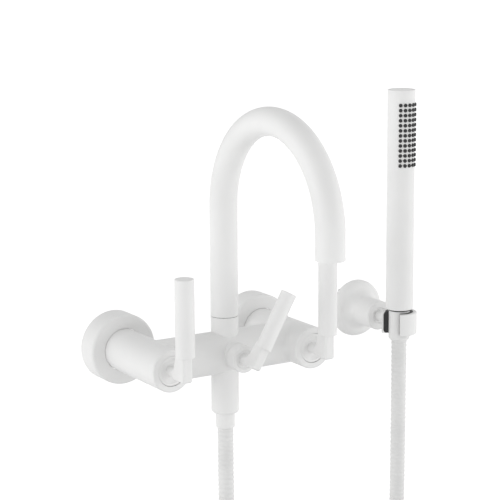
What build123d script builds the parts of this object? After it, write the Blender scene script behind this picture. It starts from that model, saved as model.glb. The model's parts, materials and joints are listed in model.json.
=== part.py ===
"""Wall mounted bath mixer with a swivel gooseneck spout and a stick hand shower.

Millimetres. The origin is on the wall plane, midway between the two inlets.
+X is to the right, the wall is at +Y, the spout points to -Y and +Z is up.
"""
from build123d import *
from math import cos, pi, radians, sin, tan
import os

os.makedirs("parts", exist_ok=True)

# --- driving dimensions -------------------------------------------------------------------
INLET_SPACING = 150.0
SIDES = (("hot", -INLET_SPACING / 2), ("cold", INLET_SPACING / 2))

FLANGE_R = 33.2
FLANGE_DEPTH = 22.7
FLANGE_WALL = 2.5
FLANGE_EDGE_R = 2.8
HOUSING_R = 19.7
HOUSING_BACK = -20.2
HOUSING_FRONT = -113.9
CROSS_R = 19.9
RISER_Y = -78.8
TUBE_R = 12.8
COLLAR_TOP = 34.0
STUB_BOTTOM = -57.6
FLANGE_HOLE_R = HOUSING_R + 0.25
HOUSING_EDGE_R = 1.6
CASTING_FILLET_R = 4.5
STUB_CHAMFER = 1.4
WATERWAY_R = 12.0
WATERWAY_END = 4.0
OUTLET_BORE_R = 7.0
OUTLET_BORE_TOP = -8.0

INLET_BORE_R = 6.5
UNION_THREAD_R = 10.45
UNION_NOSE_R = 13.0
UNION_EMBED = 16.0
UNION_NOSE_FRONT = -12.0
SEAL_THICK = 2.0
TAIL_R = 12.2
TAIL_THICK = 2.5
TAIL_NECK_R = 9.0
NUT_FLATS = 30.0
NUT_BACK = -4.0
NUT_FRONT = -19.4
FIT = 0.05

VALVE_SEAT = -70.0
CARTRIDGE_BORE_R = 10.5
CARTRIDGE_FRONT = -107.0
RECESS_R = 14.1
RECESS_DEPTH = 6.5
DISC_R = 8.4
DISC_THICK = 2.5
DISC_GAP = 0.05
DISC_PORT_R = 1.9
DISC_PORT_X = 4.6
DISC_BACK = VALVE_SEAT - SEAL_THICK
MOVING_BACK = DISC_BACK - DISC_THICK - DISC_GAP
DRIVER_BACK = MOVING_BACK - DISC_THICK
DRIVER_FRONT = DRIVER_BACK - 4.0
CHAMBER_FRONT = DRIVER_FRONT - 0.4
CARTRIDGE_WINDOW = 7.0
CARTRIDGE_WINDOW_DEPTH = 4.0
SPINDLE_R = 4.95
SPLINE_R = 3.2

HUB_R = 13.8
HUB_BACK = -108.2
HUB_FRONT = -113.3
HUB_EDGE_R = 0.6
HUB_DISH_R = 11.6
HUB_DISH_DEPTH = 1.9
HUB_SPLINE_FRONT = -119.1
HUB_SPLINE_END = -119.3
NECK_R = 5.2
NECK_FRONT = -121.0
SCREW_R = 1.5
SCREW_Y = -116.8
SCREW_KEY = 0.75
LEVER_Y = -137.2
LEVER_R = 8.7
LEVER_BOTTOM = 18.0
LEVER_TOP = 88.0
BAR_EDGE_R = 0.7
BLADE_FRONT = 4.2
BLADE_REAR_INSET = 0.4
BLADE_WAIST = 0.36
BLADE_EDGE_R = 2.2
BLADE_OVERLAP = 4.0

DIVERTER_BASE_FRONT = -102.0
KNOB_R = 12.5
KNOB_BACK = DIVERTER_BASE_FRONT - 0.4
KNOB_FRONT = -115.0
KNOB_EDGE_R = 0.8
KNOB_DISH_R = 9.2
KNOB_DISH_DEPTH = 1.7
KNOB_SPLINE_FRONT = -119.6
KNOB_SPLINE_END = -119.8
KNOB_SCREW_Y = -118.2
DIVERTER_NECK_FRONT = -121.5
DIVERTER_TILT = 30.0
DIVERTER_LEVER_Y = -133.5
DIVERTER_LEVER_R = 7.3
DIVERTER_LEVER_BOTTOM = 15.0
DIVERTER_LEVER_TOP = 70.5
DIVERTER_BORE_R = 9.0

SPOUT_REACH = 172.4
SPOUT_SPRING = 136.0
SPOUT_END = 115.6
SPOUT_WALL = 1.8
SPOUT_END_Y = RISER_Y - SPOUT_REACH
SPOUT_BORE_R = TUBE_R - SPOUT_WALL
JOINT_GAP = 0.45
SPOUT_BOTTOM = COLLAR_TOP + JOINT_GAP
SPIGOT_R = 9.0
SPIGOT_BOTTOM = 12.0
SPIGOT_BORE_BOTTOM = 8.0
SPIGOT_SOCKET = 12.0
SPIGOT_BORE_R = 6.0
GROOVE_R = 7.6
O_RING_HEIGHTS = (15.5, 20.5)
O_RING_GROOVE = 1.8
O_RING_WIRE_R = 0.68
GRUB_R = 1.5
GRUB_Z = 27.0
AERATOR_WALL_R = 9.3
AERATOR_LIP_R = 8.2
AERATOR_DEPTH = 12.0
AERATOR_BARS = (-6.0, -3.0, 0.0, 3.0, 6.0)
AERATOR_BAR = 0.7

NIPPLE_R = 6.9
NIPPLE_BORE_R = 4.5
NIPPLE_TOP = STUB_BOTTOM + 10.0
CHECK_VALVE_BOTTOM = STUB_BOTTOM + 12.0
CHECK_VALVE_TOP = -22.0
CHECK_VALVE_BORE_R = 4.8
CHECK_PORT_R = 0.9
CHECK_PORT_OFFSET = 3.3

HOSE_R = 7.5
HOSE_NUT_R = 8.85
HOSE_NUT_BOTTOM = -72.2
HOSE_NUT_EDGE_R = 0.8
HOSE_WASHER_THICK = 2.0
HOSE_NUT_SEAT = HOSE_NUT_BOTTOM + 3.0
HOLDER_X = 202.0
SHOWER_Y = -75.0
CONE_BOTTOM = -19.2
CONE_SHOULDER = -15.5
CONE_END_R = 7.1
HOSE_GAP = 0.3
HOSE_ROUTE = (
    (0.0, RISER_Y, HOSE_NUT_BOTTOM),
    (0.0, RISER_Y, -178.0),
    (4.0, RISER_Y - 1.0, -298.0),
    (22.0, RISER_Y - 2.5, -408.0),
    (64.0, RISER_Y - 3.5, -489.0),
    (136.0, SHOWER_Y - 6.0, -491.0),
    (180.0, SHOWER_Y - 4.0, -410.0),
    (198.0, SHOWER_Y - 1.5, -291.0),
    (HOLDER_X, SHOWER_Y, -157.0),
    (HOLDER_X, SHOWER_Y, CONE_BOTTOM - HOSE_GAP),
)

SHOWER_R = 13.4
SHOWER_BOTTOM = 13.9
SHOWER_TOP = 228.8
SHOWER_WALL = 1.6
SHOWER_EDGE_R = 0.8
SHOWER_FLOOR = 4.0
SHOWER_INNER_R = SHOWER_R - SHOWER_WALL
NOZZLE_ROWS = 13
NOZZLE_PITCH = 4.84
NOZZLE_TOP_ROW = 214.9
NOZZLE_COLUMNS = 5
NOZZLE_ANGLE = 19.5
NOZZLE_R = 1.75
NOZZLE_PROUD = 1.2
NOZZLE_TIP_R = 0.6
NOZZLE_MARGIN = 3.2
MAT_MARGIN_ANGLE = 9.0
MAT_THICK = 1.2
CHANNEL_R = 9.4
CHANNEL_BORE_R = 8.2
SPIGOT_THREAD_R = 6.35
SHOWER_BORE_R = 3.5
CONE_NUT_R = 10.35
CONE_NUT_TOP = SHOWER_BOTTOM - 1.5
CONE_NUT_BORE_R = 6.4
CONE_NUT_SEAT = CONE_SHOULDER + 0.5
CONE_WASHER_THICK = 2.0
JOINT_RING_R = 10.8

CLIP_R = 17.2
CLIP_EDGE_R = 0.8
CLIP_POCKET_R = 15.5
CLIP_LIP_R = 13.6
CLIP_LIP_HEIGHT = 4.2
CLIP_BOW_IN = 0.3
CLIP_BOW_UP = 0.62
LINER_BORE_R = 10.4
CLIP_HALF = 10.8
CLIP_OPEN_FROM = 150.0
CLIP_OPEN_TO = 236.0

DOME_R = 28.8
POST_R = 14.6
POST_FRONT = -43.0
POST_RECESS_R = 8.5
POST_RECESS_DEPTH = 1.3
POST_BORE_DEPTH = 12.0
POST_POCKET_R = 8.2
ARM_R = 5.5
ARM_ROOT = SHOWER_Y + 12.0
ARM_FLANGE_BACK = POST_FRONT + 15.0
RETAINER_R = 7.9
RETAINER_THICK = 2.4
PLATE_R = 20.0
PLATE_THICK = 2.5
PLATE_BOSS_R = 7.0
PLATE_BOSS_FRONT = -24.0
BRACKET_SCREW_R = 2.1
BRACKET_SCREW_NECK_R = 1.8
BRACKET_SCREW_PCD = 24.0
BRACKET_SCREW_EMBED = 28.0
BRACKET_SCREW_HEAD_R = 4.0
COVER_SCREW_R = 1.5
COVER_SCREW_Y = -20.0


# --- helpers ------------------------------------------------------------------------------
def rod_x(radius, x0, x1, y=0.0, z=0.0):
    return Pos((x0 + x1) / 2, y, z) * Rot(0, 90, 0) * Cylinder(radius, abs(x1 - x0))


def rod_y(radius, y0, y1, x=0.0, z=0.0):
    return Pos(x, (y0 + y1) / 2, z) * Rot(90, 0, 0) * Cylinder(radius, abs(y1 - y0))


def rod_z(radius, z0, z1, x=0.0, y=0.0):
    return Pos(x, y, (z0 + z1) / 2) * Cylinder(radius, abs(z1 - z0))


def ring_y(outer, inner, y0, y1, x=0.0, z=0.0):
    return rod_y(outer, y0, y1, x, z) - rod_y(inner, y0 - 1, y1 + 1, x, z)


def ring_z(outer, inner, z0, z1, x=0.0, y=0.0):
    return rod_z(outer, z0, z1, x, y) - rod_z(inner, min(z0, z1) - 1, max(z0, z1) + 1, x, y)


def dish_y(outer, inner, face, depth, x=0.0):
    """The hollow of a shallow dish round a neck, open towards -Y at the face."""
    middle = ((outer + inner) / 2, face + 0.8 * depth)
    with BuildSketch() as half:
        with BuildLine():
            floor = ThreePointArc((outer, face), middle, (inner, face + depth))
            Polyline(floor @ 1, (inner, face - 1), (outer, face - 1), floor @ 0)
        make_face()
    return Pos(x, 0, 0) * revolve(half.sketch, Axis.Y)


def hex_socket(depth):
    return extrude(RegularPolygon(SCREW_KEY, 6), depth, both=True)


def save(name, shape):
    export_step(shape, "parts/" + name + ".step")


# --- mixer body ---------------------------------------------------------------------------
def casting():
    """Two valve housings on a cross tube, with the soft fillets of one casting."""
    body = rod_x(CROSS_R, -INLET_SPACING / 2, INLET_SPACING / 2, RISER_Y)
    for _, x in SIDES:
        housing = rod_y(HOUSING_R, HOUSING_BACK, HOUSING_FRONT, x)
        body += fillet(housing.edges().sort_by(Axis.Y)[0], HOUSING_EDGE_R)
    seams = []
    for edge in body.edges():
        centre = edge.center()
        beside_housing = 50 < abs(centre.X) < INLET_SPACING / 2
        if beside_housing and abs(centre.Y - RISER_Y) < 25 and edge.geom_type != GeomType.LINE:
            seams.append(edge)
    return fillet(seams, CASTING_FILLET_R)


def mixer_body():
    body = casting()
    body += rod_z(TUBE_R, 0, COLLAR_TOP, 0, RISER_Y)
    stub = rod_z(TUBE_R, STUB_BOTTOM, 0, 0, RISER_Y)
    body += chamfer(stub.edges().sort_by(Axis.Z)[0], STUB_CHAMFER)
    body += rod_y(KNOB_R, RISER_Y, DIVERTER_BASE_FRONT)
    for _, x in SIDES:
        tail_back = UNION_NOSE_FRONT - SEAL_THICK
        body += rod_y(TAIL_NECK_R, tail_back, HOUSING_BACK - 2, x)
        body += rod_y(TAIL_R, tail_back - TAIL_THICK, tail_back, x)
    return body - waterways()


def waterways():
    half = INLET_SPACING / 2 - WATERWAY_END
    cut = rod_x(WATERWAY_R, -half, half, RISER_Y)
    for _, x in SIDES:
        cut += rod_y(RECESS_R, HOUSING_FRONT - 1, HOUSING_FRONT + RECESS_DEPTH, x)
        cut += rod_y(CARTRIDGE_BORE_R, HOUSING_FRONT, VALVE_SEAT, x)
        cut += rod_y(INLET_BORE_R, VALVE_SEAT - 1, 0, x)
    cut += rod_z(SPIGOT_R, SPIGOT_BORE_BOTTOM, COLLAR_TOP + 1, 0, RISER_Y)
    cut += rod_z(OUTLET_BORE_R, STUB_BOTTOM - 1, OUTLET_BORE_TOP, 0, RISER_Y)
    cut += rod_y(DIVERTER_BORE_R, RISER_Y, DIVERTER_BASE_FRONT - 1)
    cut += rod_y(GRUB_R, RISER_Y, RISER_Y + TUBE_R + 1, 0, GRUB_Z)
    return cut


# --- wall connection ----------------------------------------------------------------------
def wall_flange(x):
    shell = rod_y(FLANGE_R, 0, -FLANGE_DEPTH, x)
    shell = fillet(shell.edges().sort_by(Axis.Y)[0], FLANGE_EDGE_R)
    shell -= rod_y(FLANGE_R - FLANGE_WALL, 1, -FLANGE_DEPTH + 3.2, x)
    return shell - rod_y(FLANGE_HOLE_R, 1, -FLANGE_DEPTH - 1, x)


def wall_union(x):
    union = rod_y(UNION_THREAD_R, UNION_EMBED, -1.0, x)
    union = chamfer(union.edges().sort_by(Axis.Y)[-1], 1.0)
    union += rod_y(UNION_NOSE_R, -1.0, UNION_NOSE_FRONT, x)
    return union - rod_y(INLET_BORE_R, UNION_EMBED + 1, UNION_NOSE_FRONT - 1, x)


def union_nut(x):
    hexagon = Plane.XZ * RegularPolygon(NUT_FLATS / 2, 6, major_radius=False)
    blank = Pos(x, NUT_BACK, 0) * extrude(hexagon, NUT_BACK - NUT_FRONT)
    lip_back = UNION_NOSE_FRONT - SEAL_THICK - TAIL_THICK - FIT
    blank -= rod_y(UNION_NOSE_R + FIT, NUT_BACK + 1, lip_back, x)
    return blank - rod_y(TAIL_NECK_R + 0.3, NUT_BACK, NUT_FRONT - 1, x)


def inlet_seal(x):
    return ring_y(TAIL_R, INLET_BORE_R + 0.5, UNION_NOSE_FRONT - SEAL_THICK, UNION_NOSE_FRONT, x)


# --- quarter turn valves ------------------------------------------------------------------
def cartridge_body(x):
    body = rod_y(CARTRIDGE_BORE_R - FIT, DISC_BACK, CARTRIDGE_FRONT, x)
    body -= rod_y(DISC_R + 0.1, DISC_BACK + 1, CHAMBER_FRONT, x)
    body -= rod_y(SPINDLE_R + FIT, DISC_BACK, CARTRIDGE_FRONT - 1, x)
    window_y = (MOVING_BACK + DRIVER_FRONT) / 2
    window = Pos(x, window_y, 0) * Box(4 * CARTRIDGE_BORE_R, CARTRIDGE_WINDOW_DEPTH, CARTRIDGE_WINDOW)
    return body - window


def seat_seal(x):
    return ring_y(CARTRIDGE_BORE_R - 0.3, INLET_BORE_R, VALVE_SEAT - SEAL_THICK, VALVE_SEAT, x)


def port_disc(x, back):
    """A ceramic disc with two round ports."""
    disc = rod_y(DISC_R, back, back - DISC_THICK, x)
    for side in (-1, 1):
        disc -= rod_y(DISC_PORT_R, back + 1, back - DISC_THICK - 1, x + side * DISC_PORT_X)
    return disc


def spindle(x):
    stem = rod_y(SPINDLE_R, DRIVER_FRONT, CARTRIDGE_FRONT, x)
    stem += rod_y(DISC_R, DRIVER_BACK, DRIVER_FRONT, x)
    return stem + rod_y(SPLINE_R, CARTRIDGE_FRONT, HUB_SPLINE_FRONT, x)


# --- handles ------------------------------------------------------------------------------
def handle_hub(x):
    hub = rod_y(HUB_R, HUB_BACK, HUB_FRONT, x)
    hub = fillet(hub.edges().sort_by(Axis.Y)[0], HUB_EDGE_R)
    hub -= dish_y(HUB_DISH_R, NECK_R, HUB_FRONT, HUB_DISH_DEPTH, x)
    hub += rod_y(NECK_R, HUB_BACK, NECK_FRONT, x)
    hub -= rod_y(SPLINE_R + FIT, HUB_BACK + 1, HUB_SPLINE_END, x)
    return hub - rod_z(SCREW_R, -NECK_R - 1, -SPLINE_R + 0.5, x, SCREW_Y)


def neck_screw(x, y):
    """The socket screw that holds a handle on its spindle."""
    screw = rod_z(SCREW_R, -NECK_R + 0.2, -SPLINE_R, x, y)
    return screw - Pos(x, y, -NECK_R) * hex_socket(1.0)


def blade(bar_y, bar_r, bottom, back):
    """The flat foot of a lever, from the round neck up into the bar."""
    front = bar_y - BLADE_FRONT
    top = bottom + BLADE_OVERLAP
    rear = bar_y + bar_r - BLADE_REAR_INSET
    waist = (rear + BLADE_WAIST * (back - rear), BLADE_WAIST * top)
    with BuildSketch(Plane.YZ) as side:
        with BuildLine():
            heel = Line((back, 0), (back - NECK_R, -NECK_R))
            sole = Line(heel @ 1, (front, -NECK_R))
            face = Line(sole @ 1, (front, top))
            cap = Line(face @ 1, (rear, top))
            ThreePointArc(cap @ 1, waist, heel @ 0)
        make_face()
    foot = extrude(side.sketch, NECK_R, both=True)
    outer = foot.edges().filter_by(Axis.Z) + foot.edges().group_by(Axis.Z)[0]
    return fillet([edge for edge in outer if edge.center().Y < back - NECK_R], BLADE_EDGE_R)


def lever(bar_y, bar_r, bottom, top, back):
    """A round bar on a flat foot, joined to the front of the round neck."""
    bar = rod_z(bar_r, bottom, top, 0, bar_y)
    bar = fillet(bar.edges().sort_by(Axis.Z)[-1], BAR_EDGE_R)
    return bar + blade(bar_y, bar_r, bottom, back) + rod_y(NECK_R, back, bar_y)


def valve_lever(x):
    return Pos(x, 0, 0) * lever(LEVER_Y, LEVER_R, LEVER_BOTTOM, LEVER_TOP, NECK_FRONT)


# --- diverter -----------------------------------------------------------------------------
def diverter_cartridge():
    body = rod_y(DIVERTER_BORE_R - FIT, RISER_Y + 6.0, DIVERTER_BASE_FRONT)
    body -= rod_y(SPINDLE_R + FIT, RISER_Y + 7.0, DIVERTER_BASE_FRONT - 1)
    return body - Pos(0, RISER_Y, 0) * Box(8.0, 8.0, 4 * DIVERTER_BORE_R)


def diverter_spindle():
    stem = rod_y(SPINDLE_R, RISER_Y + 5.0, DIVERTER_BASE_FRONT)
    stem += rod_y(SPLINE_R, DIVERTER_BASE_FRONT, KNOB_SPLINE_FRONT)
    return stem - rod_z(2.2, -SPINDLE_R - 1, 0, 0, RISER_Y)


def diverter_knob():
    knob = rod_y(KNOB_R, KNOB_BACK, KNOB_FRONT)
    knob = fillet(knob.edges().sort_by(Axis.Y)[0], KNOB_EDGE_R)
    knob -= dish_y(KNOB_DISH_R, NECK_R, KNOB_FRONT, KNOB_DISH_DEPTH)
    knob += rod_y(NECK_R, KNOB_FRONT + 4, DIVERTER_NECK_FRONT)
    knob -= rod_y(SPLINE_R + FIT, KNOB_BACK + 1, KNOB_SPLINE_END)
    return knob - rod_z(SCREW_R, -NECK_R - 1, -SPLINE_R + 0.5, 0, KNOB_SCREW_Y)


def diverter_lever():
    upright = lever(
        DIVERTER_LEVER_Y,
        DIVERTER_LEVER_R,
        DIVERTER_LEVER_BOTTOM,
        DIVERTER_LEVER_TOP,
        DIVERTER_NECK_FRONT,
    )
    return Rot(0, DIVERTER_TILT, 0) * upright


# --- spout --------------------------------------------------------------------------------
def spout_path():
    middle = RISER_Y - SPOUT_REACH / 2
    top = SPOUT_SPRING + SPOUT_REACH / 2
    rise = Line((0, RISER_Y, SPOUT_BOTTOM), (0, RISER_Y, SPOUT_SPRING))
    arch = ThreePointArc(rise @ 1, (0, middle, top), (0, SPOUT_END_Y, SPOUT_SPRING))
    return Wire([rise, arch, Line(arch @ 1, (0, SPOUT_END_Y, SPOUT_END))])


def spout_tube():
    section = Plane((0, RISER_Y, SPOUT_BOTTOM)) * (Circle(TUBE_R) - Circle(SPOUT_BORE_R))
    return sweep(section, path=spout_path())


def spout_spigot():
    socket_top = SPOUT_BOTTOM + SPIGOT_SOCKET
    body = rod_z(SPIGOT_R - FIT, SPIGOT_BOTTOM, SPOUT_BOTTOM, 0, RISER_Y)
    body += rod_z(SPOUT_BORE_R, SPOUT_BOTTOM, socket_top, 0, RISER_Y)
    body -= rod_z(SPIGOT_BORE_R, SPIGOT_BOTTOM - 1, socket_top + 1, 0, RISER_Y)
    for z in O_RING_HEIGHTS:
        low = z - O_RING_GROOVE / 2
        body -= ring_z(SPIGOT_R + 1, GROOVE_R, low, low + O_RING_GROOVE, 0, RISER_Y)
    return body - ring_z(SPIGOT_R + 1, GROOVE_R, GRUB_Z - 2.0, GRUB_Z + 2.0, 0, RISER_Y)


def spout_o_rings():
    ring_r = SPIGOT_R - O_RING_WIRE_R - 0.03
    rings = [Pos(0, RISER_Y, z) * Torus(ring_r, O_RING_WIRE_R) for z in O_RING_HEIGHTS]
    return Compound(children=rings)


def swivel_washer():
    top = SPOUT_BOTTOM - FIT
    return ring_z(TUBE_R - 0.5, SPIGOT_R + 0.3, COLLAR_TOP, top, 0, RISER_Y)


def spout_grub_screw():
    tip = RISER_Y + GROOVE_R + 0.4
    screw = rod_y(GRUB_R - 0.02, tip, RISER_Y + TUBE_R - 0.4, 0, GRUB_Z)
    return screw - Pos(0, RISER_Y + TUBE_R, GRUB_Z) * Rot(90, 0, 0) * hex_socket(1.6)


def aerator_housing():
    low = SPOUT_END + 0.6
    shell = ring_z(SPOUT_BORE_R - 0.02, AERATOR_WALL_R, low, SPOUT_END + AERATOR_DEPTH, 0, SPOUT_END_Y)
    return shell + ring_z(AERATOR_WALL_R + 0.2, AERATOR_LIP_R, low, low + 1.4, 0, SPOUT_END_Y)


def aerator_insert():
    """A flow straightener: a ring with crossed bars."""
    base = SPOUT_END + 2.1
    ring_r = AERATOR_WALL_R - 0.1
    bore_r = AERATOR_LIP_R - 0.2
    insert = ring_z(ring_r, bore_r, base, base + 9.0, 0, SPOUT_END_Y)
    for offset in AERATOR_BARS:
        length = 2 * (8.6 ** 2 - offset ** 2) ** 0.5
        insert += Pos(offset, SPOUT_END_Y, base + 1.5) * Box(AERATOR_BAR, length, 3.0)
        insert += Pos(0, SPOUT_END_Y + offset, base + 1.5) * Box(length, AERATOR_BAR, 3.0)
    return insert


# --- lower outlet and hose ----------------------------------------------------------------
def outlet_nipple():
    bottom = HOSE_NUT_SEAT + HOSE_WASHER_THICK
    return ring_z(NIPPLE_R, NIPPLE_BORE_R, bottom, NIPPLE_TOP, 0, RISER_Y)


def check_valve():
    """A sleeve with a ported wall that seats the non-return poppet."""
    wall = CHECK_VALVE_BOTTOM + 9.0
    valve = ring_z(NIPPLE_R, CHECK_VALVE_BORE_R, CHECK_VALVE_BOTTOM, CHECK_VALVE_TOP, 0, RISER_Y)
    valve += rod_z(CHECK_VALVE_BORE_R + 0.2, wall, wall + 1.5, 0, RISER_Y)
    for turn in range(4):
        x = CHECK_PORT_OFFSET * cos(turn * pi / 2)
        y = CHECK_PORT_OFFSET * sin(turn * pi / 2)
        valve -= rod_z(CHECK_PORT_R, wall - 1, wall + 2, x, RISER_Y + y)
    return valve


def lower_hose_nut():
    nut = rod_z(HOSE_NUT_R, HOSE_NUT_BOTTOM, STUB_BOTTOM, 0, RISER_Y)
    nut = fillet(nut.edges().sort_by(Axis.Z)[0], HOSE_NUT_EDGE_R)
    nut -= rod_z(NIPPLE_R + FIT, HOSE_NUT_SEAT, STUB_BOTTOM + 1, 0, RISER_Y)
    return nut - rod_z(NIPPLE_BORE_R, HOSE_NUT_BOTTOM - 1, STUB_BOTTOM, 0, RISER_Y)


def hose_washer():
    top = HOSE_NUT_SEAT + HOSE_WASHER_THICK
    return ring_z(NIPPLE_R - 0.2, NIPPLE_BORE_R, HOSE_NUT_SEAT, top, 0, RISER_Y)


def bend_radii(points):
    """The largest arc at each corner that its two runs leave room for."""
    radii = []
    for before, corner, after in zip(points, points[1:], points[2:]):
        a = Vector(*corner) - Vector(*before)
        b = Vector(*after) - Vector(*corner)
        half_turn = radians(a.get_angle(b)) / 2
        radii.append(0.45 * min(a.length, b.length) / tan(half_turn))
    return radii


def shower_hose():
    radii = bend_radii(HOSE_ROUTE)
    path = FilletPolyline(*HOSE_ROUTE, radius=radii)
    start = Plane(origin=path @ 0, z_dir=path % 0)
    hose = sweep(start * Circle(HOSE_R), path=path)
    print("hose length", round(path.length, 1), "radii", [round(r) for r in radii])
    print("hose volume over section times length", round(hose.volume / (pi * HOSE_R ** 2 * path.length), 4))
    return hose


# --- wall bracket -------------------------------------------------------------------------
def bracket_plate():
    plate = rod_y(PLATE_R, 0, -PLATE_THICK, HOLDER_X)
    plate += rod_y(PLATE_BOSS_R, -PLATE_THICK, PLATE_BOSS_FRONT, HOLDER_X)
    for side in (-1, 1):
        z = side * BRACKET_SCREW_PCD / 2
        plate -= rod_y(BRACKET_SCREW_R + 0.2, 1, -PLATE_THICK - 1, HOLDER_X, z)
    return plate


def bracket_screws():
    """Two wall screws: cross slotted head, plain neck in the plate, shank in the wall."""
    screws = []
    for side in (-1, 1):
        z = side * BRACKET_SCREW_PCD / 2
        screw = rod_y(BRACKET_SCREW_R, BRACKET_SCREW_EMBED, 0, HOLDER_X, z)
        screw += rod_y(BRACKET_SCREW_NECK_R, 0, -PLATE_THICK, HOLDER_X, z)
        screw += rod_y(BRACKET_SCREW_HEAD_R, -PLATE_THICK, -2 * PLATE_THICK, HOLDER_X, z)
        slot = Pos(HOLDER_X, -2 * PLATE_THICK, z)
        screws.append(screw - slot * Box(5.0, 2.0, 1.0) - slot * Box(1.0, 2.0, 5.0))
    return Compound(children=screws)


def bracket_cover():
    """A low dome that runs out into the round post that holds the swivel."""
    floor_y = POST_FRONT + POST_RECESS_DEPTH
    pocket_y = POST_FRONT + POST_BORE_DEPTH
    with BuildSketch() as half:
        with BuildLine():
            rim = Line((DOME_R, 0), (DOME_R, -2.0))
            crown = ThreePointArc(rim @ 1, (26.8, -6.2), (21.8, -9.2))
            flare = ThreePointArc(crown @ 1, (17.2, -12.4), (POST_R, -18.6))
            side = Line(flare @ 1, (POST_R, POST_FRONT + 1.5))
            edge = ThreePointArc(side @ 1, (POST_R - 0.44, POST_FRONT + 0.44), (POST_R - 1.5, POST_FRONT))
            face = Line(edge @ 1, (POST_RECESS_R, POST_FRONT))
            recess = Line(face @ 1, (POST_RECESS_R - POST_RECESS_DEPTH, floor_y))
            floor = Line(recess @ 1, (ARM_R + FIT, floor_y))
            bore = Line(floor @ 1, (ARM_R + FIT, pocket_y))
            pocket = Line(bore @ 1, (POST_POCKET_R, pocket_y))
            Polyline(pocket @ 1, (POST_POCKET_R, -14.0), (11.0, -9.0), (22.5, -5.6), (26.0, 0.0), rim @ 0)
        make_face()
    cover = Pos(HOLDER_X, 0, 0) * revolve(half.sketch, Axis.Y)
    return cover - rod_z(COVER_SCREW_R, -POST_R - 1, -POST_POCKET_R + 0.2, HOLDER_X, COVER_SCREW_Y)


def cover_grub_screw():
    return rod_z(COVER_SCREW_R, -POST_R + 0.6, -PLATE_BOSS_R, HOLDER_X, COVER_SCREW_Y)


# --- swivelling holder --------------------------------------------------------------------
def sector(radius, start, stop, half_height):
    """A wedge about the shower axis between two angles, in degrees from +X."""
    middle = radians((start + stop) / 2)
    reach = 2 * radius
    corners = [(0, 0)]
    for angle in (radians(start), middle, radians(stop)):
        corners.append((reach * cos(angle), reach * sin(angle)))
    wedge = extrude(make_face(Polyline(*corners, close=True)), half_height, both=True)
    return Pos(HOLDER_X, SHOWER_Y, 0) * wedge


def pocket_outline(radius, lip_radius):
    """The turned shape of the soft liner: full at mid height, thinner at both lips."""
    shoulder = CLIP_HALF - CLIP_LIP_HEIGHT
    middle = shoulder + CLIP_BOW_UP * CLIP_LIP_HEIGHT
    bow = radius - CLIP_BOW_IN * (radius - lip_radius)
    with BuildSketch(Plane.XZ) as half:
        with BuildLine():
            wall = Line((radius, -shoulder), (radius, shoulder))
            upper = ThreePointArc(wall @ 1, (bow, middle), (lip_radius, CLIP_HALF))
            top = (LINER_BORE_R, CLIP_HALF)
            bottom = (LINER_BORE_R, -CLIP_HALF)
            bore = Polyline(upper @ 1, top, bottom, (lip_radius, -CLIP_HALF))
            ThreePointArc(bore @ 1, (bow, -middle), wall @ 0)
        make_face()
    return Pos(HOLDER_X, SHOWER_Y, 0) * revolve(half.sketch, Axis.Z)


def clip_opening():
    return sector(CLIP_R, CLIP_OPEN_FROM, CLIP_OPEN_TO, CLIP_HALF + 2)


def holder_clip():
    shell = rod_z(CLIP_R, -CLIP_HALF, CLIP_HALF, HOLDER_X, SHOWER_Y)
    shell = fillet(shell.edges().filter_by(GeomType.CIRCLE), CLIP_EDGE_R)
    shell += rod_y(ARM_R, ARM_ROOT, ARM_FLANGE_BACK, HOLDER_X)
    shell -= rod_z(LINER_BORE_R, -CLIP_HALF - 1, CLIP_HALF + 1, HOLDER_X, SHOWER_Y)
    return shell - pocket_outline(CLIP_POCKET_R, CLIP_LIP_R) - clip_opening()


def holder_liner():
    return pocket_outline(CLIP_POCKET_R - 0.02, CLIP_LIP_R - 0.02) - clip_opening()


def arm_retainer():
    """The nut that keeps the arm in the post."""
    back = ARM_FLANGE_BACK
    return ring_y(RETAINER_R, ARM_R + 0.01, back - RETAINER_THICK, back, HOLDER_X)


# --- hand shower --------------------------------------------------------------------------
def at_shower(shape):
    return Pos(HOLDER_X, SHOWER_Y, 0) * shape


def nozzle_field():
    """The band of the handle behind the nozzles, as a wedge about the handle's axis."""
    half_angle = (NOZZLE_COLUMNS - 1) / 2 * NOZZLE_ANGLE + MAT_MARGIN_ANGLE
    height = (NOZZLE_ROWS - 1) * NOZZLE_PITCH + 2 * NOZZLE_MARGIN
    reach = 2 * SHOWER_R
    corners = [(0, 0)]
    for angle in (-90 - half_angle, -90, -90 + half_angle):
        corners.append((reach * cos(radians(angle)), reach * sin(radians(angle))))
    wedge = extrude(make_face(Polyline(*corners, close=True)), height)
    return Pos(0, 0, NOZZLE_TOP_ROW + NOZZLE_MARGIN - height) * wedge


def nozzle_places():
    for row in range(NOZZLE_ROWS):
        z = NOZZLE_TOP_ROW - row * NOZZLE_PITCH
        for column in range(NOZZLE_COLUMNS):
            yield z, (column - (NOZZLE_COLUMNS - 1) / 2) * NOZZLE_ANGLE


def shower_tube():
    tube = rod_z(SHOWER_R, SHOWER_BOTTOM, SHOWER_TOP)
    tube = fillet(tube.edges().sort_by(Axis.Z)[0], SHOWER_EDGE_R)
    tube -= rod_z(SHOWER_INNER_R, SHOWER_BOTTOM + SHOWER_FLOOR, SHOWER_TOP + 1)
    tube -= rod_z(SPIGOT_THREAD_R + 0.15, SHOWER_BOTTOM - 1, SHOWER_BOTTOM + SHOWER_FLOOR + 1)
    for z, angle in nozzle_places():
        hole = rod_y(NOZZLE_R + 0.02, -SHOWER_R + 4, -SHOWER_R - 2)
        tube -= Pos(0, 0, z) * Rot(0, 0, angle) * hole
    return at_shower(tube)


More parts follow.
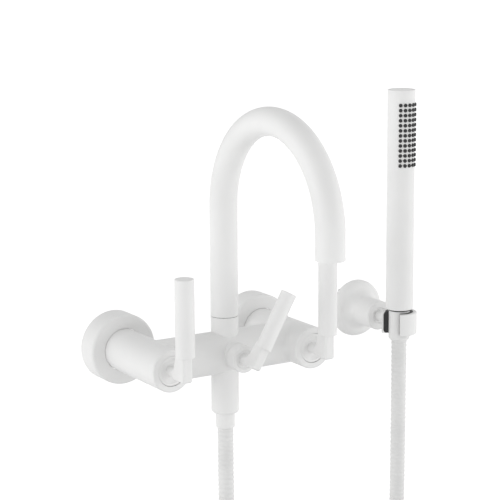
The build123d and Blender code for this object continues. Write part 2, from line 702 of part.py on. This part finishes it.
def nozzle_mat():
    """The silicone mat inside the tube with one rubber nozzle through each hole."""
    band = nozzle_field()
    low = band.bounding_box().min.Z
    high = band.bounding_box().max.Z
    mat = ring_z(SHOWER_INNER_R - 0.02, SHOWER_INNER_R - MAT_THICK, low, high) & band
    for z, angle in nozzle_places():
        tip = rod_y(NOZZLE_R, -SHOWER_INNER_R + 0.5, -SHOWER_R - NOZZLE_PROUD)
        tip = fillet(tip.edges().sort_by(Axis.Y)[0], NOZZLE_TIP_R)
        mat += Pos(0, 0, z) * Rot(0, 0, angle) * tip
    return at_shower(mat)


def shower_cap():
    plug = rod_z(SHOWER_INNER_R, SHOWER_TOP - 5.0, SHOWER_TOP - 1.0)
    disc = rod_z(SHOWER_INNER_R - 0.3, SHOWER_TOP - 1.0, SHOWER_TOP - 0.2)
    return at_shower(plug + disc)


def water_channel():
    """The inner tube that brings the water up to the nozzle mat."""
    height = (NOZZLE_ROWS - 1) * NOZZLE_PITCH + 4.0
    channel = ring_z(CHANNEL_R, CHANNEL_BORE_R, SHOWER_BOTTOM + 6.0, SHOWER_TOP - 5.0)
    slot = Pos(0, -CHANNEL_R, NOZZLE_TOP_ROW + 2.0 - height / 2) * Box(7.0, 6.0, height)
    return at_shower(channel - slot)


def cone_nut():
    """The hose's swivel cone, which sits in the holder."""
    straight = rod_z(CONE_NUT_R, CONE_SHOULDER, CONE_NUT_TOP)
    taper_place = Pos(0, 0, (CONE_BOTTOM + CONE_SHOULDER) / 2)
    taper = taper_place * Cone(CONE_END_R, CONE_NUT_R, CONE_SHOULDER - CONE_BOTTOM)
    return at_shower(straight + taper - rod_z(CONE_NUT_BORE_R, CONE_NUT_SEAT, SHOWER_BOTTOM + 1))


def joint_ring():
    """The black ring between the cone nut and the handle."""
    return at_shower(ring_z(JOINT_RING_R, CONE_NUT_BORE_R, CONE_NUT_TOP, SHOWER_BOTTOM))


def hose_spigot():
    """The threaded nipple of the hand shower, with the flow limiter's seat."""
    washer_top = CONE_NUT_SEAT + CONE_WASHER_THICK
    floor = SHOWER_BOTTOM + SHOWER_FLOOR
    nipple = ring_z(SPIGOT_THREAD_R, SHOWER_BORE_R, washer_top, floor)
    return at_shower(nipple + ring_z(SHOWER_INNER_R - 0.2, SHOWER_BORE_R, floor, floor + 2.0))


def cone_washer():
    top = CONE_NUT_SEAT + CONE_WASHER_THICK
    return at_shower(ring_z(CONE_NUT_BORE_R - 0.2, SHOWER_BORE_R, CONE_NUT_SEAT, top))


# --- write every piece --------------------------------------------------------------------
def main():
    save("mixer_body", mixer_body())
    for name, x in SIDES:
        save("wall_flange_" + name, wall_flange(x))
        save("wall_union_" + name, wall_union(x))
        save("union_nut_" + name, union_nut(x))
        save("inlet_seal_" + name, inlet_seal(x))
        save("cartridge_body_" + name, cartridge_body(x))
        save("seat_seal_" + name, seat_seal(x))
        save("fixed_disc_" + name, port_disc(x, DISC_BACK))
        save("moving_disc_" + name, port_disc(x, MOVING_BACK))
        save("spindle_" + name, spindle(x))
        save("handle_hub_" + name, handle_hub(x))
        save("handle_screw_" + name, neck_screw(x, SCREW_Y))
        save("lever_" + name, valve_lever(x))
    save("diverter_cartridge", diverter_cartridge())
    save("diverter_spindle", diverter_spindle())
    save("diverter_knob", diverter_knob())
    save("diverter_screw", neck_screw(0.0, KNOB_SCREW_Y))
    save("diverter_lever", diverter_lever())
    save("spout_tube", spout_tube())
    save("spout_spigot", spout_spigot())
    save("spout_o_rings", spout_o_rings())
    save("swivel_washer", swivel_washer())
    save("spout_grub_screw", spout_grub_screw())
    save("aerator_housing", aerator_housing())
    save("aerator_insert", aerator_insert())
    save("outlet_nipple", outlet_nipple())
    save("check_valve", check_valve())
    save("lower_hose_nut", lower_hose_nut())
    save("hose_washer", hose_washer())
    save("shower_hose", shower_hose())
    save("bracket_plate", bracket_plate())
    save("bracket_screws", bracket_screws())
    save("bracket_cover", bracket_cover())
    save("cover_grub_screw", cover_grub_screw())
    save("holder_clip", holder_clip())
    save("holder_liner", holder_liner())
    save("arm_retainer", arm_retainer())
    save("shower_tube", shower_tube())
    save("nozzle_mat", nozzle_mat())
    save("shower_cap", shower_cap())
    save("water_channel", water_channel())
    save("hose_spigot", hose_spigot())
    save("cone_nut", cone_nut())
    save("joint_ring", joint_ring())
    save("cone_washer", cone_washer())


main()
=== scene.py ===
import json
from math import cos, pi, radians, sin

import bmesh
import bpy
from mathutils import Matrix, Vector


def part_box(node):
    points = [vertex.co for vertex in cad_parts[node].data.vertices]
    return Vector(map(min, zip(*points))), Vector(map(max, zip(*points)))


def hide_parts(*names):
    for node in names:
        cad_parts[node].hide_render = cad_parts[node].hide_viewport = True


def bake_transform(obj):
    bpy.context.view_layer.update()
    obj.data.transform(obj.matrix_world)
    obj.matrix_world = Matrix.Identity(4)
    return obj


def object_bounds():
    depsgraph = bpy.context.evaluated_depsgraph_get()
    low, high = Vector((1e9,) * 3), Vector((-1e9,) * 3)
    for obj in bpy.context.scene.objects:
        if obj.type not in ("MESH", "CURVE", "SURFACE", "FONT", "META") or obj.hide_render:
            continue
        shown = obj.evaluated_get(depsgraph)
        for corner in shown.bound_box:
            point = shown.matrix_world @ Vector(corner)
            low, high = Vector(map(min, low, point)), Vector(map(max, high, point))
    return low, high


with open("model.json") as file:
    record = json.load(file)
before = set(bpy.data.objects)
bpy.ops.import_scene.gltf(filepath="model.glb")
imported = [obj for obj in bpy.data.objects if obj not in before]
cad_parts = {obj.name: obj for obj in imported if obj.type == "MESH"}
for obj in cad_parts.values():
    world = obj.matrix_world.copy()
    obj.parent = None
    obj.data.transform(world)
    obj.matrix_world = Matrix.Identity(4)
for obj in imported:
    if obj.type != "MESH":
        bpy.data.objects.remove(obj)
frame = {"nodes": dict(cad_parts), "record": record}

CAD_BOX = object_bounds()
NODES = frame["nodes"]
SLOT_OF = {row["node"]: row["material_slot"] for row in frame["record"]["subparts"]}

# Camera: metres and degrees.
CAMERA_PLACE = (-0.8314, -1.4720, 0.4236)
CAMERA_HEADING = 31.671
CAMERA_DOWN = 11.446
CAMERA_ROLL = -0.366
CAMERA_LENS = 130.6
SENSOR_WIDTH = 36.0

# Hose: the same route as in part.py, in metres.
RISER_Y = -0.0788
SHOWER_Y = -0.075
HOLDER_X = 0.202
NUT_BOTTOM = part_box("lower_hose_nut")[0].z
CONE_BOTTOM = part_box("cone_nut")[0].z
HOSE_GAP = 0.0003
HOSE_R = 0.0075
HOSE_ROUTE = (
    (0.0, RISER_Y, NUT_BOTTOM),
    (0.0, RISER_Y, -0.178),
    (0.004, RISER_Y - 0.001, -0.298),
    (0.022, RISER_Y - 0.0025, -0.408),
    (0.064, RISER_Y - 0.0035, -0.489),
    (0.136, SHOWER_Y - 0.006, -0.491),
    (0.180, SHOWER_Y - 0.004, -0.410),
    (0.198, SHOWER_Y - 0.0015, -0.291),
    (HOLDER_X, SHOWER_Y, -0.157),
    (HOLDER_X, SHOWER_Y, CONE_BOTTOM - HOSE_GAP),
)
ROUTE_RESOLUTION = 24

# Hose mesh: the spacing of its rings, and the wound strip on its outside.
HOSE_STEP = 0.00046
HOSE_SIDES = 40
RIB_PITCH = 0.0046
RIB_DEPTH = 0.0005
RIB_LIP = 0.68
TIP_TAPER = 0.0006

# The sleeve lies round the top of the hose.
SLEEVE_LENGTH = 0.03
SLEEVE_PROUD = 0.00015

# Floor: grey near the object, with a painted white glow (emission, not a lamp) away from it, from
# FLOOR_NEAR to FLOOR_FAR metres out.
FLOOR_DROP = 0.06
FLOOR_HALF = 20.0
FLOOR_GREY = 0.62
FLOOR_NEAR = 0.3
FLOOR_FAR = 0.95
FLOOR_GLOW = 0.62

# Light.
WORLD_BASE = 0.60
WORLD_SIDES = 0.61
SUN_SPREAD = 50
LEFT_AIM = (1.0, -0.35, -0.05)
LEFT_STRENGTH = 0.6
RIGHT_AIM = (-0.8, 0.6, -0.05)
RIGHT_STRENGTH = 0.7


# --- camera -------------------------------------------------------------------------------
def add_camera():
    data = bpy.data.cameras.new("camera")
    data.sensor_width = SENSOR_WIDTH
    data.lens = CAMERA_LENS
    data.dof.use_dof = False
    camera = bpy.data.objects.new("camera", data)
    bpy.context.scene.collection.objects.link(camera)
    camera.location = CAMERA_PLACE
    turn = Matrix.Rotation(radians(-CAMERA_HEADING), 3, "Z")
    tip = Matrix.Rotation(radians(90 - CAMERA_DOWN), 3, "X")
    roll = Matrix.Rotation(radians(CAMERA_ROLL), 3, "Z")
    camera.rotation_euler = (turn @ tip @ roll).to_euler()
    bpy.context.scene.camera = camera


# --- materials ----------------------------------------------------------------------------
def new_material(name, colour, roughness, metallic=0.0):
    material = bpy.data.materials.new(name)
    material.use_nodes = True
    shader = material.node_tree.nodes["Principled BSDF"]
    shader.inputs["Base Color"].default_value = (*colour, 1.0)
    shader.inputs["Roughness"].default_value = roughness
    shader.inputs["Metallic"].default_value = metallic
    return material, material.node_tree, shader


def noise(tree, scale, detail=4.0, rough=0.5, stretch=(1, 1, 1)):
    """A noise texture in object space, where one unit is one metre."""
    place = tree.nodes.new("ShaderNodeTexCoord")
    mapping = tree.nodes.new("ShaderNodeMapping")
    mapping.inputs["Scale"].default_value = stretch
    texture = tree.nodes.new("ShaderNodeTexNoise")
    texture.inputs["Scale"].default_value = scale
    texture.inputs["Detail"].default_value = detail
    texture.inputs["Roughness"].default_value = rough
    tree.links.new(place.outputs["Object"], mapping.inputs["Vector"])
    tree.links.new(mapping.outputs["Vector"], texture.inputs["Vector"])
    return texture.outputs["Fac"]


def ramp(tree, value, low, high):
    """Maps the middle of a noise's range to a range of colours."""
    node = tree.nodes.new("ShaderNodeValToRGB")
    node.color_ramp.elements[0].position = 0.35
    node.color_ramp.elements[1].position = 0.65
    node.color_ramp.elements[0].color = (*low, 1.0)
    node.color_ramp.elements[1].color = (*high, 1.0)
    tree.links.new(value, node.inputs["Fac"])
    return node.outputs["Color"]


def vary_colour(tree, shader, value, low, high):
    tree.links.new(ramp(tree, value, low, high), shader.inputs["Base Color"])


def vary_roughness(tree, shader, value, low, high):
    tree.links.new(ramp(tree, value, (low, low, low), (high, high, high)), shader.inputs["Roughness"])


def bump(tree, shader, height, strength, distance):
    node = tree.nodes.new("ShaderNodeBump")
    node.inputs["Strength"].default_value = strength
    node.inputs["Distance"].default_value = distance
    tree.links.new(height, node.inputs["Height"])
    tree.links.new(node.outputs["Normal"], shader.inputs["Normal"])


def white_coat():
    """Matt white powder coat: fine orange peel, faint cloudiness and slightly uneven gloss."""
    material, tree, shader = new_material("white_coat", (0.80, 0.80, 0.795), 0.42)
    vary_colour(tree, shader, noise(tree, 18.0, 3.0), (0.785, 0.785, 0.78), (0.815, 0.815, 0.81))
    vary_roughness(tree, shader, noise(tree, 60.0, 2.0), 0.38, 0.46)
    bump(tree, shader, noise(tree, 1400.0, 3.0, 0.55), 0.12, 0.00012)
    return material


def hose_white():
    """Matt white plastic skin of the wound hose."""
    material, tree, shader = new_material("hose_white", (0.74, 0.74, 0.735), 0.45)
    vary_colour(tree, shader, noise(tree, 40.0, 3.0), (0.72, 0.72, 0.715), (0.76, 0.76, 0.755))
    bump(tree, shader, noise(tree, 1800.0, 2.0), 0.1, 0.0001)
    return material


def black_silicone():
    material, tree, shader = new_material("black_silicone", (0.016, 0.016, 0.017), 0.5)
    grain = noise(tree, 900.0, 3.0)
    vary_roughness(tree, shader, grain, 0.44, 0.58)
    bump(tree, shader, grain, 0.15, 0.0001)
    return material


def black_plastic():
    material, tree, shader = new_material("black_plastic", (0.014, 0.014, 0.015), 0.48)
    grain = noise(tree, 2200.0, 2.0)
    vary_roughness(tree, shader, grain, 0.42, 0.56)
    bump(tree, shader, grain, 0.2, 0.00008)
    return material


def rubber_seal():
    material, tree, shader = new_material("rubber_seal", (0.02, 0.02, 0.02), 0.7)
    bump(tree, shader, noise(tree, 1500.0, 3.0), 0.2, 0.0001)
    return material


def brass():
    """Turned brass: tool marks across the Y axis and a little tarnish."""
    material, tree, shader = new_material("brass", (0.62, 0.42, 0.16), 0.3, 1.0)
    vary_colour(tree, shader, noise(tree, 140.0, 5.0), (0.50, 0.33, 0.12), (0.68, 0.48, 0.20))
    marks = noise(tree, 500.0, 2.0, 0.5, (0.15, 6.0, 0.15))
    vary_roughness(tree, shader, marks, 0.24, 0.40)
    bump(tree, shader, marks, 0.15, 0.0001)
    return material


def screw_steel():
    material, tree, shader = new_material("screw_steel", (0.55, 0.55, 0.56), 0.3, 1.0)
    marks = noise(tree, 700.0, 3.0)
    vary_roughness(tree, shader, marks, 0.24, 0.42)
    bump(tree, shader, marks, 0.12, 0.00008)
    return material


def ceramic():
    material, tree, shader = new_material("ceramic", (0.86, 0.84, 0.78), 0.12)
    vary_colour(tree, shader, noise(tree, 2600.0, 2.0), (0.82, 0.80, 0.74), (0.88, 0.86, 0.80))
    return material


def inner_plastic():
    material, tree, shader = new_material("inner_plastic", (0.62, 0.63, 0.65), 0.4)
    grain = noise(tree, 1200.0, 3.0)
    vary_roughness(tree, shader, grain, 0.34, 0.48)
    bump(tree, shader, grain, 0.1, 0.00008)
    return material


def make_materials():
    """One material for each of the record's slots."""
    return {
        "white_coat": white_coat(),
        "white_hose": hose_white(),
        "black_silicone": black_silicone(),
        "black_plastic": black_plastic(),
        "rubber_seal": rubber_seal(),
        "brass": brass(),
        "screw_steel": screw_steel(),
        "ceramic": ceramic(),
        "inner_plastic": inner_plastic(),
    }


def dress_cad_nodes(materials):
    for name, node in NODES.items():
        node.data.materials.clear()
        node.data.materials.append(materials[SLOT_OF[name]])


# --- meshes -------------------------------------------------------------------------------
def finish_mesh(name, mesh):
    bmesh.ops.recalc_face_normals(mesh, faces=mesh.faces)
    data = bpy.data.meshes.new(name)
    mesh.to_mesh(data)
    mesh.free()
    for face in data.polygons:
        face.use_smooth = True
    piece = bpy.data.objects.new(name, data)
    bpy.context.scene.collection.objects.link(piece)
    return piece


# --- hose ---------------------------------------------------------------------------------
def route_line(points):
    """Points along the smooth NURBS line that has the route as its control points."""
    curve = bpy.data.curves.new("route", "CURVE")
    curve.dimensions = "3D"
    spline = curve.splines.new("NURBS")
    spline.points.add(len(points) - 1)
    for point, place in zip(spline.points, points):
        point.co = (*place, 1.0)
    spline.order_u = 3
    spline.use_endpoint_u = True
    curve.resolution_u = ROUTE_RESOLUTION
    holder = bpy.data.objects.new("route", curve)
    mesh = bpy.data.meshes.new_from_object(holder)
    line = [v.co.copy() for v in mesh.vertices]
    bpy.data.objects.remove(holder)
    bpy.data.meshes.remove(mesh)
    bpy.data.curves.remove(curve)
    return line


def even_steps(line):
    """The line again, as points one step apart."""
    reach = [0.0]
    for a, b in zip(line, line[1:]):
        reach.append(reach[-1] + (b - a).length)
    count = round(reach[-1] / HOSE_STEP)
    points = []
    at = 0
    for i in range(count + 1):
        target = reach[-1] * i / count
        while at < len(line) - 2 and reach[at + 1] < target:
            at += 1
        share = (target - reach[at]) / (reach[at + 1] - reach[at])
        points.append(line[at].lerp(line[at + 1], share))
    return points


def rib_height(turn):
    """Height over one pitch of the wound strip, from 0 to 1: a long rise and a shorter fall."""
    turn = turn % 1.0
    if turn < RIB_LIP:
        return 0.5 - 0.5 * cos(pi * turn / RIB_LIP)
    return 0.5 + 0.5 * cos(pi * (turn - RIB_LIP) / (1 - RIB_LIP))


def tube_ring(mesh, centre, along, side, reaches):
    """One ring of points round the line, each at its own distance from it."""
    other = along.cross(side)
    ring = []
    for k, reach in enumerate(reaches):
        angle = 2 * pi * k / HOSE_SIDES
        ring.append(mesh.verts.new(centre + (side * cos(angle) + other * sin(angle)) * reach))
    return ring


def ribbed_tube(name, points, first, last, radius):
    """A tube from one point to another, whose outside is a strip wound in a helix."""
    mesh = bmesh.new()
    rings = []
    side = Vector((0, -1, 0))
    for i in range(first, last + 1):
        along = (points[min(i + 1, last)] - points[max(i - 1, first)]).normalized()
        side = (side - along * side.dot(along)).normalized()
        turns = [i * HOSE_STEP / RIB_PITCH + k / HOSE_SIDES for k in range(HOSE_SIDES)]
        reaches = [radius - RIB_DEPTH * (1 - rib_height(turn)) for turn in turns]
        rings.append(tube_ring(mesh, points[i], along, side, reaches))
    tip = points[last] + along * HOSE_GAP
    rings.append(tube_ring(mesh, tip, along, side, [radius - TIP_TAPER] * HOSE_SIDES))
    for low, high in zip(rings, rings[1:]):
        for k in range(HOSE_SIDES):
            n = (k + 1) % HOSE_SIDES
            mesh.faces.new((low[k], low[n], high[n], high[k]))
    mesh.faces.new(list(reversed(rings[0])))
    mesh.faces.new(rings[-1])
    return finish_mesh(name, mesh)


def add_hose(material):
    """The whole hose, and the sleeve round its top."""
    line = route_line(HOSE_ROUTE)
    points = even_steps(line)
    last = len(points) - 1
    hose = ribbed_tube("shower_hose_spiral", points, 0, last, HOSE_R)
    sleeve_start = last - round(SLEEVE_LENGTH / HOSE_STEP)
    sleeve = ribbed_tube("shower_hose_upper", points, sleeve_start, last, HOSE_R + SLEEVE_PROUD)
    for piece in (hose, sleeve):
        piece.data.materials.append(material)
    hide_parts("shower_hose")
    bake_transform(hose)
    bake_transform(sleeve)


# --- stage and light ----------------------------------------------------------------------
def floor_material():
    """Grey studio floor with a painted white glow (emission) that brightens it away from the object.
    """
    material, tree, shader = new_material("floor_grey_painted_glow", (FLOOR_GREY, FLOOR_GREY, FLOOR_GREY), 0.9)
    shader.inputs["Specular IOR Level"].default_value = 0.0
    place = tree.nodes.new("ShaderNodeTexCoord")
    length = tree.nodes.new("ShaderNodeVectorMath")
    length.operation = "LENGTH"
    tree.links.new(place.outputs["Object"], length.inputs[0])
    glow = tree.nodes.new("ShaderNodeMapRange")
    glow.interpolation_type = "SMOOTHSTEP"
    glow.inputs["From Min"].default_value = FLOOR_NEAR
    glow.inputs["From Max"].default_value = FLOOR_FAR
    glow.inputs["To Max"].default_value = FLOOR_GLOW
    tree.links.new(length.outputs["Value"], glow.inputs["Value"])
    # Painted glow: white emission, rising with distance from the object, makes the far floor white.
    shader.inputs["Emission Color"].default_value = (1, 1, 1, 1)
    tree.links.new(glow.outputs["Result"], shader.inputs["Emission Strength"])
    return material


def add_floor():
    mesh = bmesh.new()
    bmesh.ops.create_grid(mesh, x_segments=8, y_segments=8, size=FLOOR_HALF)
    floor = finish_mesh("floor", mesh)
    floor.location = (0, 0, CAD_BOX[0].z - FLOOR_DROP)
    floor.data.materials.append(floor_material())


def add_sun(name, aim, strength):
    data = bpy.data.lights.new(name, "SUN")
    data.energy = strength
    data.angle = radians(SUN_SPREAD)
    light = bpy.data.objects.new(name, data)
    bpy.context.scene.collection.objects.link(light)
    light.rotation_euler = Vector(aim).to_track_quat("-Z", "Y").to_euler()


def add_world():
    """A studio that is brightest at its left and right walls."""
    world = bpy.data.worlds.new("studio")
    bpy.context.scene.world = world
    world.use_nodes = True
    tree = world.node_tree
    place = tree.nodes.new("ShaderNodeTexCoord")
    parts = tree.nodes.new("ShaderNodeSeparateXYZ")
    tree.links.new(place.outputs["Generated"], parts.inputs["Vector"])
    square = tree.nodes.new("ShaderNodeMath")
    square.operation = "MULTIPLY"
    tree.links.new(parts.outputs["X"], square.inputs[0])
    tree.links.new(parts.outputs["X"], square.inputs[1])
    strength = tree.nodes.new("ShaderNodeMath")
    strength.operation = "MULTIPLY_ADD"
    tree.links.new(square.outputs[0], strength.inputs[0])
    strength.inputs[1].default_value = WORLD_SIDES
    strength.inputs[2].default_value = WORLD_BASE
    background = tree.nodes["Background"]
    background.inputs["Color"].default_value = (1, 1, 1, 1)
    tree.links.new(strength.outputs[0], background.inputs["Strength"])


def add_light():
    add_world()
    add_sun("left", LEFT_AIM, LEFT_STRENGTH)
    add_sun("right", RIGHT_AIM, RIGHT_STRENGTH)
    bpy.context.scene.view_settings.view_transform = "Standard"


# --- assembly -----------------------------------------------------------------------------
add_camera()
MATERIALS = make_materials()
add_hose(MATERIALS["white_hose"])
dress_cad_nodes(MATERIALS)
add_floor()
add_light()
